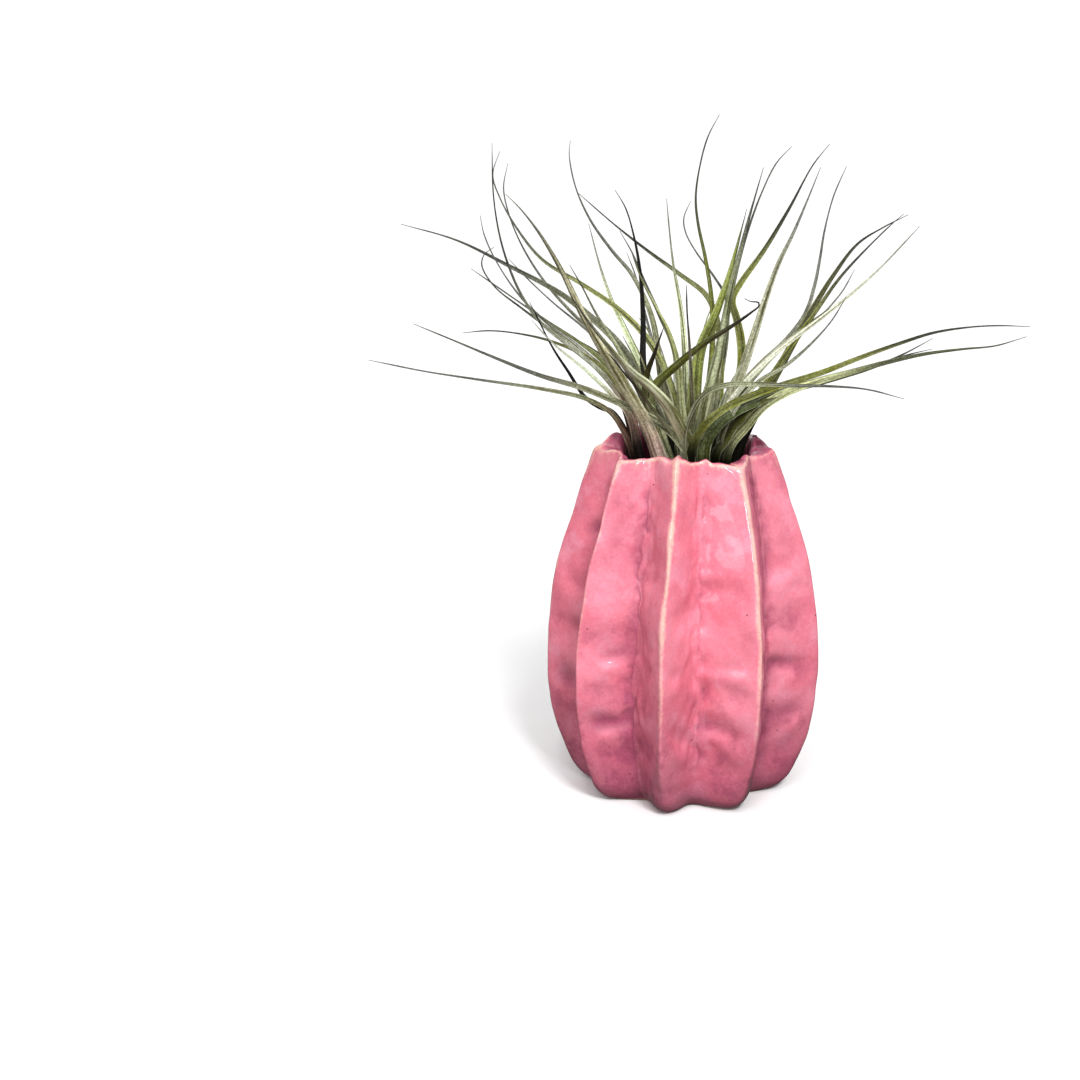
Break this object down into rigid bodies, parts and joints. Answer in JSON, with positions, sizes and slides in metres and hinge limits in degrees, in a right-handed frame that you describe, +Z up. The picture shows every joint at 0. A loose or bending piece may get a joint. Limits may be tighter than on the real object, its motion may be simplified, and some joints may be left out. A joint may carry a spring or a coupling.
{
  "type": "air plant in a vase",
  "caption": "Clump of narrow-leaved air plant rosettes standing in the mouth of a ribbed, glazed ceramic vase on a flat foot.",
  "frame": {"origin": "centre of the vase's flat foot, on the surface that it stands on", "axes": "+Z up along the vase's axis, -Y towards the front, +X to the right seen from the front"},
  "size_m": [0.1824, 0.1643, 0.1929],
  "materials": {
    "vase_glaze": "glossy pink glaze with cream breaks along the ribs",
    "leaf_taupe": "living leaf, taupe and olive with silver scurf and dark dry tips, dull",
    "leaf_silver": "living leaf, grey-green with silver scurf, dull",
    "leaf_olive": "living leaf, olive green with silver scurf, dull",
    "leaf_green": "living leaf, green to pale yellow-green with dark dry tips, dull"
  },
  "bodies": {
    "root": {"vase": "vase_glaze", "rosette_left": "leaf_taupe", "rosette_front": "leaf_silver", "rosette_right": "leaf_olive", "rosette_back": "leaf_green"}
  },
  "joints": []
}
